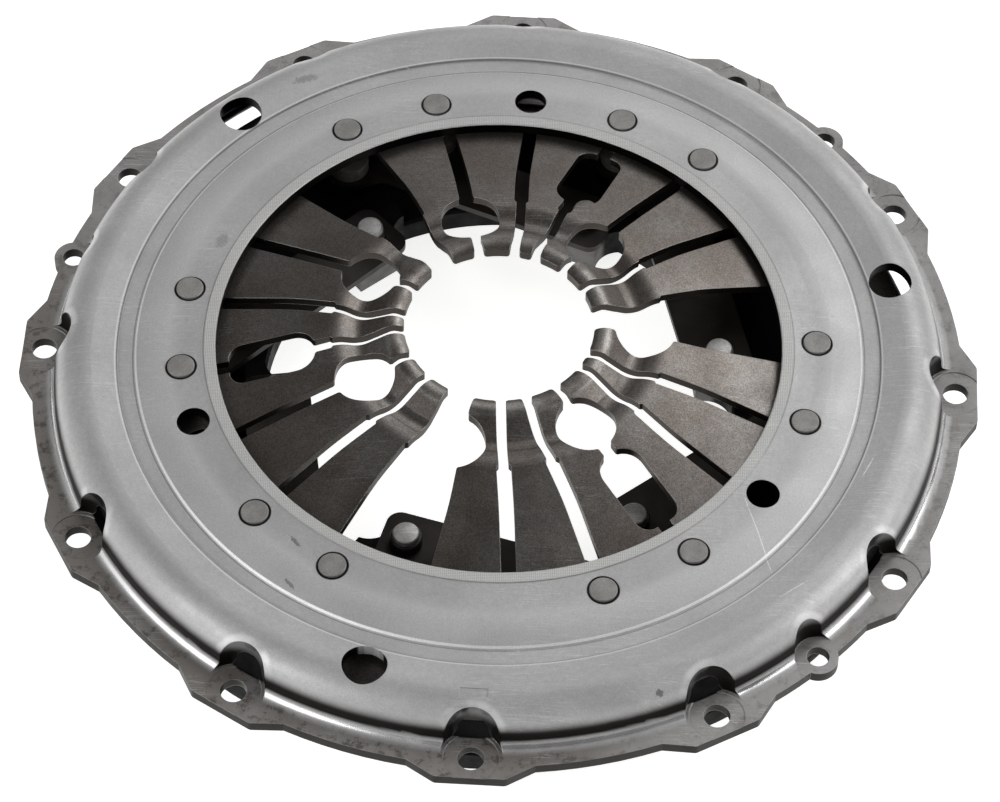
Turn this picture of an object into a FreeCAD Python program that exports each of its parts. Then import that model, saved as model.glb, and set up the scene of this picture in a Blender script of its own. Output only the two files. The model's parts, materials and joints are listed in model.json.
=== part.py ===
import FreeCAD, Part
import math
import os

# A diaphragm-spring clutch pressure plate, built as separate pieces.
# All lengths are in millimetres and all angles in degrees.
# The origin is the centre of the flange's mounting face, and Z points up towards the release fingers.

# Cover: a drawn sheet steel ring
SHEET = 5.0
BOLT_COUNT = 12
BOLT_FIRST_AZ = -2.6
BOLT_HOLE_R = 5.25
BOLT_SEAT_R = 11.0
BOLT_SEAT_DEPTH = 0.3
BOLT_POCKET_R = 12.5
DOWEL_AZ = [42.4, 162.4, 312.35]
DOWEL_HOLE_R = 4.5
DOWEL_LOBE_R = 8.2
DOWEL_POCKET_R = 9.5
FLANGE_WIDTH = 3.6
TAB_WIDTH = 9.5
TAB_TOP_HALF_AZ = 4.0
TAB_FOOT_HALF_AZ = 7.5
TAB_CORNER = 3.0
WALL_INSET = 6.0
FOOT_ROUND = 5.0
WALL_STRAIGHT = 0.3
SHOULDER_ROUND = 14.0
RING_RISE = 2.2
BORE_R = 116.7
BORE_CHAMFER = 0.4
GROOVE_IN_R = 150.1
GROOVE_OUT_R = 157.7
GROOVE_DEPTH = 2.7
UNDERSIDE_DROP = 6.1
SHOULDER_HOLE_R = 9.0
SHOULDER_HOLE_CIRCLE_R = 167.0
SHOULDER_HOLE_AZ = [12.37, 132.37, 252.37]
RING_HOLE_R = 6.75
RING_HOLE_AZ = [84.66, 199.54, 324.51]
MARK_AZ = -92.6
MARK_LENGTH = 11.0
MARK_WIDTH = 3.6
MARK_DEPTH = 0.3
SEAM_AZ = -13.5

# Spacer rivets: they hold the fulcrum rings and the outer ends of the straps
RIVET_CIRCLE_R = 131.16
RIVET_AZ = [0.29, 49.06, 66.79, 102.5, 120.35, 169.07, 187.02, 222.64, 240.48, 288.93, 306.76, 342.31]
RIVET_HEAD_R = 5.65
RIVET_HEAD_H = 1.25
RIVET_HEAD_EDGE = 0.4
RIVET_SEAT_GAP = 0.5
RIVET_GROOVE_DEPTH = 0.7
RIVET_SHANK_R = 4.0
RIVET_COLLAR_R = 5.0
RIVET_FLANGE_R = 8.75
RIVET_TAIL_R = 6.5
RIVET_TAIL_H = 2.5
HOLE_GAP = 0.1

# Fulcrum rings: round wire above and below the diaphragm spring
UPPER_WIRE_R = 2.0
LOWER_WIRE_R = 2.0
WIRE_GAP = 0.15

# Diaphragm spring: one cone of sheet steel, slotted into release fingers
SPRING_T = 3.6
SPRING_CONE = 13.6
SPRING_OUTER_R = 172.0
SPRING_WALL_GAP = 7.0
TIP_R = 39.1
DIP_OUTER_R = 66.0
DIP_OUTER_ROUND = 14.0
DIP_SLOPE = -20.0
DIP_INNER_R = 57.5
DIP_INNER_ROUND = 8.0
NOSE_SLOPE = 29.0
NOSE_R = 44.0
NOSE_ROUND = 7.0
TIP_SLOPE = -20.0
SLOT_COUNT = 21
SLOT_FIRST_AZ = -1.67
SLOT_OUTER_HALF = 3.0
SLOT_INNER_HALF = 2.0
SLOT_STEP_R = 69.0
ROOT_HOLE_R = 11.0
TIP_LEAN = [1.9, -4.6, -3.5, -1.3, 1.3, -2.7, 1.4, 3.8, -3.1, 0.5, 3.8,
            -1.3, 1.3, 2.8, 3.9, -2.7, -1.0, -2.9, -0.6, 2.6, -3.0]
LEAN_FULL_R = 42.0
LEAN_NONE_R = 92.0
OPENING_AFTER_SLOT = [0, 7, 14]
OPENING_OUTER_R = 126.0
WINDOW_SLOT = [4, 11, 18]
WINDOW_IN_R = 76.0
WINDOW_OUT_R = 111.5
WINDOW_HALF = 9.75
WINDOW_IN_ROUND = 8.5
WINDOW_OUT_ROUND = 6.0
CUTOUT_SLOT = [0, 3, 6, 9, 12, 15, 18]
CUTOUT_R = 12.3
CUTOUT_CENTRE_R = 60.0
FINGER_CORNER = 1.3

# Straps: packs of leaf springs that carry the plate from the rivets
STRAP_TOP_Z = 1.0
LEAF_T = 1.0
LEAF_COUNT = 3
LEAF_NAMES = ["top", "middle", "bottom"]
STRAP_HALF = 14.0
STRAP_END_HALF = 11.0
STRAP_TIP_REACH = 11.0
STRAP_TIP_ROUND = 6.0
STRAP_CORNER = 6.0
STRAP_RIVET_CIRCLE_R = 92.7
STRAP_RIVET_AZ = [126.9, 186.9, 246.9, 306.9, 6.9, 66.9]
STRAP_PAIRS = [(5, 6), (7, 8), (9, 10), (11, 0), (1, 2), (3, 4)]
STRAP_HOLE_GAP = 0.3

# Rivets and washers that fix the straps to the plate
STRAP_RIVET_R = 4.0
STRAP_HEAD_R = 5.4
STRAP_HEAD_H = 3.1
STRAP_HEAD_EDGE = 0.9
STRAP_HEAD_CROWN = 0.5
WASHER_R = 6.7
WASHER_H = 4.7
WASHER_EDGE = 1.0
STRAP_RIVET_TAIL_R = 6.5
STRAP_RIVET_TAIL_H = 2.5

# Pressure plate: a cast iron ring with six lugs
PLATE_OUTER_R = 180.0
PLATE_BORE_R = 98.0
PLATE_TOP_DROP = 6.0
PLATE_T = 12.0
PLATE_EDGE = 1.2
RIDGE_R = 166.0
RIDGE_FOOT_IN = 6.5
RIDGE_FOOT_OUT = 8.5
RIDGE_GAP = 0.3
RIDGE_NOTCH_COUNT = 12
RIDGE_NOTCH_HALF = 8.0
RIDGE_NOTCH_LIFT = 2.0
LUG_INNER_R = 82.0
LUG_HALF = 11.0
LUG_TURN = 1.4
LUG_T = 14.0
LUG_BACK_R = 106.0
LUG_FLARE_AZ = 13.0
LUG_POCKET_R = 8.0
RECESS_R = 11.0
RECESS_DEPTH = 4.5
PLATE_SEAM_AZ = -9.0

# Sizes and heights that follow from the sizes above
BOLT_CIRCLE_R = SPRING_OUTER_R + SPRING_WALL_GAP + SHEET + WALL_INSET
SHOULDER_Z = SHEET + FOOT_ROUND + WALL_STRAIGHT + SHOULDER_ROUND
RING_TOP_Z = SHOULDER_Z + RING_RISE
GROOVE_Z = SHOULDER_Z - GROOVE_DEPTH
UNDERSIDE_Z = RING_TOP_Z - UNDERSIDE_DROP
RIVET_SEAT_Z = RING_TOP_Z - RIVET_HEAD_H
STRAP_BOTTOM_Z = STRAP_TOP_Z - LEAF_COUNT * LEAF_T
PLATE_TOP_Z = STRAP_BOTTOM_Z - PLATE_TOP_DROP
FRICTION_Z = PLATE_TOP_Z - PLATE_T
FULCRUM_R = RIVET_CIRCLE_R + RIVET_COLLAR_R + UPPER_WIRE_R + HOLE_GAP
CONE_TAN = math.tan(math.radians(SPRING_CONE))
CONE_COS = math.cos(math.radians(SPRING_CONE))
UPPER_WIRE_Z = UNDERSIDE_Z - WIRE_GAP - UPPER_WIRE_R
FULCRUM_TOP_Z = UPPER_WIRE_Z - (UPPER_WIRE_R + WIRE_GAP) / CONE_COS
FULCRUM_BOTTOM_Z = FULCRUM_TOP_Z - SPRING_T / CONE_COS
LOWER_WIRE_Z = FULCRUM_BOTTOM_Z - (LOWER_WIRE_R + WIRE_GAP) / CONE_COS
RIVET_FLANGE_Z = LOWER_WIRE_Z - LOWER_WIRE_R - WIRE_GAP
SLOT_PITCH = 360.0 / SLOT_COUNT
ABOVE_FINGERS_Z = FULCRUM_TOP_Z + SPRING_OUTER_R


def polar(radius, azimuth, z=0.0):
    angle = math.radians(azimuth)
    return FreeCAD.Vector(radius * math.cos(angle), radius * math.sin(angle), z)


def turned(shape, azimuth):
    copy = shape.copy()
    copy.rotate(FreeCAD.Vector(0, 0, 0), FreeCAD.Vector(0, 0, 1), azimuth)
    return copy


def cylinder(radius, bottom, top, place):
    base = FreeCAD.Vector(place.x, place.y, bottom)
    return Part.makeCylinder(radius, top - bottom, base)


def prism(points, bottom, top):
    corners = [FreeCAD.Vector(p.x, p.y, bottom) for p in points]
    corners.append(corners[0])
    face = Part.Face(Part.makePolygon(corners))
    return face.extrude(FreeCAD.Vector(0, 0, top - bottom))


def upright_edges(shape):
    found = []
    for edge in shape.Edges:
        first = edge.Vertexes[0].Point
        last = edge.Vertexes[-1].Point
        if abs(first.z - last.z) > 0.5 and math.hypot(first.x - last.x, first.y - last.y) < 1e-4:
            found.append(edge)
    return found


def inner_corners(solid):
    # the upright edges where the solid's outline turns inwards
    found = []
    for edge in upright_edges(solid):
        point = edge.Vertexes[0].Point
        height = 0.5 * (edge.Vertexes[0].Point.z + edge.Vertexes[-1].Point.z)
        inside = 0
        for step in range(16):
            probe = FreeCAD.Vector(point.x, point.y, height) + polar(0.3, 22.5 * step + 5.0)
            if solid.isInside(probe, 1e-5, False):
                inside = inside + 1
        if inside >= 10:
            found.append(edge)
    return found


def spun(edges, seam=0.0):
    # a solid of revolution about the Z axis, from a closed outline in the XZ plane
    # the seam is the azimuth where the turn starts and ends, and it is kept clear of holes
    face = turned(Part.Face(Part.Wire(Part.__sortEdges__(edges))), seam)
    return face.revolve(FreeCAD.Vector(0, 0, 0), FreeCAD.Vector(0, 0, 1), 360)


def point_xz(x, z):
    return FreeCAD.Vector(x, 0, z)


def line(start, end):
    return Part.LineSegment(start, end).toShape()


def chain(points):
    edges = []
    for start, end in zip(points[:-1], points[1:]):
        edges.append(line(start, end))
    return edges


def arc_about(centre, radius, start_angle, end_angle):
    # an arc in the XZ plane, with angles counted from +X towards +Z
    picks = []
    for angle in [start_angle, 0.5 * (start_angle + end_angle), end_angle]:
        turn = math.radians(angle)
        picks.append(FreeCAD.Vector(centre.x + radius * math.cos(turn), 0, centre.z + radius * math.sin(turn)))
    return Part.Arc(picks[0], picks[1], picks[2]).toShape(), picks[0], picks[2]


def tangent_angle(point, centre, radius):
    # where a line from a point outside a circle touches the circle's upper side
    away = math.degrees(math.atan2(point.z - centre.z, point.x - centre.x))
    distance = math.hypot(point.x - centre.x, point.z - centre.z)
    return away - math.degrees(math.acos(radius / distance))


def cover_profile():
    flange_end = BOLT_CIRCLE_R + TAB_WIDTH + 8.0
    wall_r = BOLT_CIRCLE_R - WALL_INSET
    shoulder = point_xz(wall_r - SHOULDER_ROUND, SHOULDER_Z - SHOULDER_ROUND)
    foot = point_xz(wall_r + FOOT_ROUND, SHEET + FOOT_ROUND)

    step = point_xz(GROOVE_OUT_R, GROOVE_Z + 1.0)
    start = tangent_angle(step, shoulder, SHOULDER_ROUND)
    crown, crown_start, crown_end = arc_about(shoulder, SHOULDER_ROUND, start, 0.0)
    foot_top, foot_top_start, foot_top_end = arc_about(foot, FOOT_ROUND, 180.0, 270.0)

    inner = [
        point_xz(BORE_R, RING_TOP_Z - BORE_CHAMFER),
        point_xz(BORE_R + BORE_CHAMFER, RING_TOP_Z),
        point_xz(BORE_R + 4.9, RING_TOP_Z),
        point_xz(BORE_R + 5.2, RING_TOP_Z - 0.3),
        point_xz(BORE_R + 7.2, RING_TOP_Z - 0.5),
        point_xz(RIVET_CIRCLE_R, RING_TOP_Z - 1.0),
        point_xz(RIVET_CIRCLE_R + 6.0, RING_TOP_Z - 1.2),
    ]
    edges = chain(inner)
    fall_end = point_xz(GROOVE_IN_R - 0.5, RING_TOP_Z - 3.7)
    fall_middle = point_xz(0.5 * (inner[-1].x + fall_end.x) + 0.4, RING_TOP_Z - 2.0)
    edges.append(Part.Arc(inner[-1], fall_middle, fall_end).toShape())
    groove = [
        fall_end,
        point_xz(GROOVE_IN_R + 0.6, GROOVE_Z),
        point_xz(GROOVE_OUT_R - 0.4, GROOVE_Z),
        step,
        crown_start,
    ]
    edges.extend(chain(groove))
    edges.append(crown)
    edges.append(line(crown_end, foot_top_start))
    edges.append(foot_top)
    edges.append(line(foot_top_end, point_xz(flange_end, SHEET)))
    edges.append(line(point_xz(flange_end, SHEET), point_xz(flange_end, 0.0)))

    foot_under, foot_under_start, foot_under_end = arc_about(foot, FOOT_ROUND + SHEET, 270.0, 180.0)
    crown_under, crown_under_start, crown_under_end = arc_about(shoulder, SHOULDER_ROUND - SHEET, 0.0, 90.0)
    edges.append(line(point_xz(flange_end, 0.0), foot_under_start))
    edges.append(foot_under)
    edges.append(line(foot_under_end, crown_under_start))
    edges.append(crown_under)
    under = [
        crown_under_end,
        point_xz(GROOVE_OUT_R + 6.5, SHOULDER_Z - SHEET - 0.1),
        point_xz(GROOVE_OUT_R + 1.0, GROOVE_Z - SHEET + 0.6),
        point_xz(GROOVE_IN_R - 2.0, GROOVE_Z - SHEET + 0.6),
        point_xz(FULCRUM_R + UPPER_WIRE_R + 0.6, UNDERSIDE_Z),
        point_xz(BORE_R + 8.0, UNDERSIDE_Z),
        point_xz(BORE_R + 4.5, RING_TOP_Z - SHEET),
        point_xz(BORE_R, RING_TOP_Z - SHEET),
        inner[0],
    ]
    edges.extend(chain(under))
    return edges


def flange_outline():
    flange_r = BOLT_CIRCLE_R + FLANGE_WIDTH
    tab_r = BOLT_CIRCLE_R + TAB_WIDTH
    top = RING_TOP_Z + 5.0
    outline = Part.makeCylinder(flange_r, top + 5.0, FreeCAD.Vector(0, 0, -5.0))
    corners = [
        polar(BOLT_CIRCLE_R - 4.0, -TAB_FOOT_HALF_AZ),
        polar(flange_r, -TAB_FOOT_HALF_AZ),
        polar(tab_r, -TAB_TOP_HALF_AZ),
        polar(tab_r, TAB_TOP_HALF_AZ),
        polar(flange_r, TAB_FOOT_HALF_AZ),
        polar(BOLT_CIRCLE_R - 4.0, TAB_FOOT_HALF_AZ),
    ]
    tab = prism(corners, -5.0, top)
    ends = []
    for edge in upright_edges(tab):
        point = edge.Vertexes[0].Point
        if math.hypot(point.x, point.y) > tab_r - 0.5:
            ends.append(edge)
    tab = tab.makeFillet(TAB_CORNER, ends)
    pieces = []
    for index in range(BOLT_COUNT):
        pieces.append(turned(tab, BOLT_FIRST_AZ + index * 360.0 / BOLT_COUNT))
    for azimuth in DOWEL_AZ:
        pieces.append(cylinder(DOWEL_LOBE_R, -5.0, top, polar(BOLT_CIRCLE_R, azimuth)))
    return outline.multiFuse(pieces)


def press_mark():
    wall_r = BOLT_CIRCLE_R - WALL_INSET
    radius = wall_r - SHOULDER_ROUND + 2.0
    rise = math.sqrt(SHOULDER_ROUND ** 2 - 2.0 ** 2)
    height = SHOULDER_Z - SHOULDER_ROUND + rise
    tilt = math.degrees(math.asin(2.0 / SHOULDER_ROUND))
    corner = FreeCAD.Vector(-0.5 * MARK_WIDTH, -0.5 * MARK_LENGTH, -MARK_DEPTH)
    mark = Part.makeBox(MARK_WIDTH, MARK_LENGTH, 4.0, corner)
    mark.rotate(FreeCAD.Vector(0, 0, 0), FreeCAD.Vector(0, 1, 0), tilt)
    mark.translate(FreeCAD.Vector(radius, 0, height))
    return turned(mark, MARK_AZ)


def rivet_groove(place, top):
    # the fine sunk line round a rivet head
    outer = cylinder(RIVET_HEAD_R + RIVET_SEAT_GAP, RIVET_SEAT_Z - RIVET_GROOVE_DEPTH, top, place)
    inner = cylinder(RIVET_HEAD_R, RIVET_SEAT_Z - RIVET_GROOVE_DEPTH, top, place)
    return outer.cut(inner)


def make_cover():
    cover = spun(cover_profile(), SEAM_AZ).common(flange_outline())
    top = RING_TOP_Z + 5.0
    cuts = []
    for index in range(BOLT_COUNT):
        place = polar(BOLT_CIRCLE_R, BOLT_FIRST_AZ + index * 360.0 / BOLT_COUNT)
        cuts.append(cylinder(BOLT_HOLE_R, -5.0, top, place))
        cuts.append(cylinder(BOLT_POCKET_R, SHEET, top, place))
        cuts.append(cylinder(BOLT_SEAT_R, SHEET - BOLT_SEAT_DEPTH, top, place))
    for azimuth in DOWEL_AZ:
        place = polar(BOLT_CIRCLE_R, azimuth)
        cuts.append(cylinder(DOWEL_HOLE_R, -5.0, top, place))
        cuts.append(cylinder(DOWEL_POCKET_R, SHEET, top, place))
    for azimuth in SHOULDER_HOLE_AZ:
        cuts.append(cylinder(SHOULDER_HOLE_R, 0.0, top, polar(SHOULDER_HOLE_CIRCLE_R, azimuth)))
    for azimuth in RING_HOLE_AZ:
        cuts.append(cylinder(RING_HOLE_R, 0.0, top, polar(RIVET_CIRCLE_R, azimuth)))
    for azimuth in RIVET_AZ:
        place = polar(RIVET_CIRCLE_R, azimuth)
        cuts.append(cylinder(RIVET_SHANK_R + HOLE_GAP, 0.0, top, place))
        cuts.append(cylinder(RIVET_HEAD_R, RIVET_SEAT_Z, top, place))
        cuts.append(rivet_groove(place, top))
    cuts.append(press_mark())
    return cover.cut(cuts)


def make_spacer_rivet():
    head_top = RIVET_SEAT_Z + RIVET_HEAD_H
    edge = RIVET_HEAD_EDGE
    rounding, round_start, round_end = arc_about(
        point_xz(RIVET_HEAD_R - edge, head_top - edge), edge, 90.0, 0.0)
    tail_end = STRAP_BOTTOM_Z - RIVET_TAIL_H
    edges = [line(point_xz(0, head_top), round_start), rounding]
    points = [
        round_end,
        point_xz(RIVET_HEAD_R, RIVET_SEAT_Z),
        point_xz(RIVET_SHANK_R, RIVET_SEAT_Z),
        point_xz(RIVET_SHANK_R, UNDERSIDE_Z),
        point_xz(RIVET_COLLAR_R, UNDERSIDE_Z),
        point_xz(RIVET_COLLAR_R, RIVET_FLANGE_Z),
        point_xz(RIVET_FLANGE_R, RIVET_FLANGE_Z),
        point_xz(RIVET_FLANGE_R, STRAP_TOP_Z),
        point_xz(RIVET_SHANK_R, STRAP_TOP_Z),
        point_xz(RIVET_SHANK_R, STRAP_BOTTOM_Z),
        point_xz(RIVET_TAIL_R, STRAP_BOTTOM_Z),
        point_xz(RIVET_TAIL_R, tail_end + 1.0),
        point_xz(RIVET_TAIL_R - 1.0, tail_end),
        point_xz(0, tail_end),
        point_xz(0, head_top),
    ]
    edges.extend(chain(points))
    return spun(edges)


def make_spacer_rivets():
    rivet = make_spacer_rivet()
    rivets = []
    for azimuth in RIVET_AZ:
        copy = rivet.copy()
        copy.translate(polar(RIVET_CIRCLE_R, azimuth))
        rivets.append(copy)
    return Part.makeCompound(rivets)


def make_fulcrum_ring(wire_r, height):
    return Part.makeTorus(FULCRUM_R, wire_r, FreeCAD.Vector(0, 0, height), FreeCAD.Vector(0, 0, 1))


def bend(before, corner, after, radius):
    # the arc that rounds a corner of a path, and the points where it starts and ends
    back = (before - corner).normalize()
    ahead = (after - corner).normalize()
    half = 0.5 * math.acos(back.dot(ahead))
    reach = radius / math.tan(half)
    start = corner + back * reach
    end = corner + ahead * reach
    middle_way = (back + ahead).normalize()
    centre = corner + middle_way * (radius / math.sin(half))
    middle = centre - middle_way * radius
    return Part.Arc(start, middle, end).toShape(), start, end


def path_heights(radii, slopes, start):
    heights = [start]
    for index in range(len(slopes)):
        run = radii[index] - radii[index + 1]
        heights.append(heights[-1] + run * math.tan(math.radians(slopes[index])))
    return heights


def spring_profile():
    # the sheet's upper side is a path of straight runs, and the lower side lies one thickness below
    # going inwards, the cone ends in a dip, a rise to the nose and a short slope down to the tip
    radii = [SPRING_OUTER_R, DIP_OUTER_R, DIP_INNER_R, NOSE_R, TIP_R - 1.0]
    slopes = [SPRING_CONE, DIP_SLOPE, NOSE_SLOPE, TIP_SLOPE]
    rounds = [DIP_OUTER_ROUND, DIP_INNER_ROUND, NOSE_ROUND]
    heights = path_heights(radii, slopes, FULCRUM_TOP_Z - (SPRING_OUTER_R - FULCRUM_R) * CONE_TAN)
    upper = [point_xz(radius, height) for radius, height in zip(radii, heights)]
    lower = [upper[0] - FreeCAD.Vector(0, 0, SPRING_T / CONE_COS)]
    for index in [1, 2, 3]:
        turn = math.radians(0.5 * (slopes[index - 1] + slopes[index]))
        spread = math.cos(math.radians(0.5 * (slopes[index - 1] - slopes[index])))
        drop = FreeCAD.Vector(math.sin(turn), 0, math.cos(turn)) * (SPRING_T / spread)
        lower.append(upper[index] - drop)
    lower.append(upper[4] - FreeCAD.Vector(0, 0, SPRING_T / math.cos(math.radians(TIP_SLOPE))))

    edges = [line(upper[0], lower[0]), line(upper[4], lower[4])]
    upper_start = upper[0]
    lower_start = lower[0]
    for index in [1, 2, 3]:
        # where the path turns down on its way inwards, the upper side is the outside of the bend
        turns_down = slopes[index] < slopes[index - 1]
        inside = -SPRING_T if turns_down else SPRING_T
        arc, first, last = bend(upper[index - 1], upper[index], upper[index + 1], rounds[index - 1])
        edges.extend([line(upper_start, first), arc])
        upper_start = last
        arc, first, last = bend(lower[index - 1], lower[index], lower[index + 1], rounds[index - 1] + inside)
        edges.extend([line(lower_start, first), arc])
        lower_start = last
    edges.extend([line(upper_start, upper[4]), line(lower_start, lower[4])])
    return edges


def lean_at(slot, radius):
    # the azimuth a slot's middle line has moved by at a radius
    reach = (LEAN_NONE_R - radius) / (LEAN_NONE_R - LEAN_FULL_R)
    reach = max(0.0, min(1.0, reach))
    return TIP_LEAN[slot] * reach * reach * (3.0 - 2.0 * reach)


def slot_point(slot, radius, offset):
    azimuth = SLOT_FIRST_AZ + slot * SLOT_PITCH + lean_at(slot, radius)
    return polar(radius, azimuth) + polar(offset, azimuth + 90.0)


def slot_radii(outer):
    radii = [TIP_R - 8.0]
    for step in range(10):
        radii.append(LEAN_FULL_R + step * (LEAN_NONE_R - LEAN_FULL_R) / 9.0)
    radii.extend([SLOT_STEP_R - 0.5, SLOT_STEP_R + 0.5, outer])
    return sorted(radii)


def slot_half(radius):
    if radius < SLOT_STEP_R:
        return SLOT_INNER_HALF
    return SLOT_OUTER_HALF


def slot_cutter(slot):
    one_side = []
    other_side = []
    for radius in slot_radii(RIVET_CIRCLE_R):
        half = slot_half(radius)
        one_side.append(slot_point(slot, radius, half))
        other_side.append(slot_point(slot, radius, -half))
    return prism(one_side + other_side[::-1], 0.0, ABOVE_FINGERS_Z)


def opening_cutter(slot):
    # the room of one whole finger that is left out between two slots
    following = (slot + 1) % SLOT_COUNT
    one_side = []
    other_side = []
    for radius in slot_radii(OPENING_OUTER_R):
        one_side.append(slot_point(slot, radius, 0.0))
        other_side.append(slot_point(following, radius, 0.0))
    return prism(one_side + other_side[::-1], 0.0, ABOVE_FINGERS_Z)


def window_cutter():
    corners = [
        FreeCAD.Vector(WINDOW_IN_R, -WINDOW_HALF, 0),
        FreeCAD.Vector(WINDOW_OUT_R, -WINDOW_HALF, 0),
        FreeCAD.Vector(WINDOW_OUT_R, WINDOW_HALF, 0),
        FreeCAD.Vector(WINDOW_IN_R, WINDOW_HALF, 0),
    ]
    window = prism(corners, 0.0, ABOVE_FINGERS_Z)
    middle = 0.5 * (WINDOW_IN_R + WINDOW_OUT_R)
    near = [edge for edge in upright_edges(window) if edge.Vertexes[0].Point.x < middle]
    window = window.makeFillet(min(WINDOW_IN_ROUND, WINDOW_HALF - 0.5), near)
    far = [edge for edge in upright_edges(window) if edge.Vertexes[0].Point.x > WINDOW_OUT_R - 0.1
           and abs(edge.Vertexes[0].Point.y) > WINDOW_HALF - 0.1]
    return window.makeFillet(min(WINDOW_OUT_ROUND, WINDOW_HALF - 0.5), far)


def near_circle(point, centre, radius):
    return abs(math.hypot(point.x - centre.x, point.y - centre.y) - radius) < 0.01


def finger_corners(cutter):
    # the sharp corners of the fingers: at the tips, and where slots meet cut-outs and windows
    discs = []
    for slot in CUTOUT_SLOT:
        discs.append((slot_point(slot, CUTOUT_CENTRE_R, 0.0), CUTOUT_R))
    for slot in WINDOW_SLOT:
        azimuth = SLOT_FIRST_AZ + slot * SLOT_PITCH
        for side in [1.0, -1.0]:
            middle = FreeCAD.Vector(WINDOW_IN_R + WINDOW_IN_ROUND, side * (WINDOW_HALF - WINDOW_IN_ROUND), 0)
            reach = math.hypot(middle.x, middle.y)
            turn = math.degrees(math.atan2(middle.y, middle.x))
            discs.append((polar(reach, azimuth + turn), WINDOW_IN_ROUND))
    found = []
    for edge in upright_edges(cutter):
        point = edge.Vertexes[0].Point
        radius = math.hypot(point.x, point.y)
        if abs(radius - TIP_R) < 0.01:
            found.append(edge)
            continue
        if radius > WINDOW_IN_R + 2.0:
            continue
        for centre, reach in discs:
            if near_circle(point, centre, reach):
                found.append(edge)
                break
    return found


def finger_cutter():
    cuts = [cylinder(TIP_R, 0.0, ABOVE_FINGERS_Z, FreeCAD.Vector(0, 0, 0))]
    for slot in range(SLOT_COUNT):
        cuts.append(slot_cutter(slot))
        azimuth = SLOT_FIRST_AZ + slot * SLOT_PITCH
        cuts.append(cylinder(ROOT_HOLE_R, 0.0, ABOVE_FINGERS_Z, polar(RIVET_CIRCLE_R, azimuth)))
        if slot in OPENING_AFTER_SLOT:
            cuts.append(opening_cutter(slot))
        if slot in WINDOW_SLOT:
            cuts.append(turned(window_cutter(), azimuth))
        if slot in CUTOUT_SLOT:
            cuts.append(cylinder(CUTOUT_R, 0.0, ABOVE_FINGERS_Z, slot_point(slot, CUTOUT_CENTRE_R, 0.0)))
    cutter = cuts[0].multiFuse(cuts[1:]).removeSplitter()
    return cutter.makeFillet(FINGER_CORNER, finger_corners(cutter))


def make_diaphragm_spring():
    return spun(spring_profile(), SEAM_AZ).cut(finger_cutter())


def strap_plan(pack):
    # the middles of the plate-end hole and of the two cover-end holes
    start = polar(STRAP_RIVET_CIRCLE_R, STRAP_RIVET_AZ[pack])
    first = polar(RIVET_CIRCLE_R, RIVET_AZ[STRAP_PAIRS[pack][0]])
    second = polar(RIVET_CIRCLE_R, RIVET_AZ[STRAP_PAIRS[pack][1]])
    return start, first, second


def stadium(start, end, half, bottom, top):
    along = (end - start).normalize()
    side = FreeCAD.Vector(-along.y, along.x, 0) * half
    body = prism([start + side, start - side, end - side, end + side], bottom, top)
    return body.multiFuse([cylinder(half, bottom, top, start), cylinder(half, bottom, top, end)])


def strap_arm(start, end, bottom, top):
    # square with rounded corners at the plate end, and round at the cover end
    along = (end - start).normalize()
    side = FreeCAD.Vector(-along.y, along.x, 0) * STRAP_HALF
    tip = start - along * STRAP_TIP_REACH
    body = prism([tip + side, tip - side, end - side, end + side], bottom, top)
    corners = [edge for edge in upright_edges(body) if near_circle(edge.Vertexes[0].Point, tip, STRAP_HALF)]
    body = body.makeFillet(STRAP_TIP_ROUND, corners)
    return body.fuse(cylinder(STRAP_HALF, bottom, top, end))


def make_strap_leaf(pack, level):
    top = STRAP_TOP_Z - level * LEAF_T
    bottom = top - LEAF_T
    start, first, second = strap_plan(pack)
    middle = (first + second) * 0.5
    arm = strap_arm(start, middle, bottom, top)
    foot = stadium(first, second, STRAP_END_HALF, bottom, top)
    leaf = arm.fuse(foot).removeSplitter()
    leaf = leaf.makeFillet(STRAP_CORNER, inner_corners(leaf))
    holes = [cylinder(STRAP_RIVET_R + STRAP_HOLE_GAP, bottom - 1.0, top + 1.0, start)]
    holes.append(cylinder(RIVET_SHANK_R + HOLE_GAP, bottom - 1.0, top + 1.0, first))
    holes.append(cylinder(RIVET_SHANK_R + HOLE_GAP, bottom - 1.0, top + 1.0, second))
    return leaf.cut(holes)


def make_strap_rivet():
    head_bottom = STRAP_TOP_Z + WASHER_H
    head_top = head_bottom + STRAP_HEAD_H
    edge = STRAP_HEAD_EDGE
    rim = point_xz(STRAP_HEAD_R - edge, head_top - STRAP_HEAD_CROWN - edge)
    rounding, round_start, round_end = arc_about(rim, edge, 90.0, 0.0)
    crown_middle = point_xz(0.5 * round_start.x, head_top - 0.25 * STRAP_HEAD_CROWN)
    crown = Part.Arc(point_xz(0, head_top), crown_middle, round_start).toShape()
    lug_bottom = STRAP_BOTTOM_Z - LUG_T
    tail_end = lug_bottom - STRAP_RIVET_TAIL_H
    points = [
        round_end,
        point_xz(STRAP_HEAD_R, head_bottom),
        point_xz(STRAP_RIVET_R, head_bottom),
        point_xz(STRAP_RIVET_R, lug_bottom),
        point_xz(STRAP_RIVET_TAIL_R, lug_bottom),
        point_xz(STRAP_RIVET_TAIL_R, tail_end + 1.0),
        point_xz(STRAP_RIVET_TAIL_R - 1.0, tail_end),
        point_xz(0, tail_end),
        point_xz(0, head_top),
    ]
    return spun([crown, rounding] + chain(points))


def make_strap_rivets():
    rivet = make_strap_rivet()
    rivets = []
    for azimuth in STRAP_RIVET_AZ:
        copy = rivet.copy()
        copy.translate(polar(STRAP_RIVET_CIRCLE_R, azimuth))
        rivets.append(copy)
    return Part.makeCompound(rivets)


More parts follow.
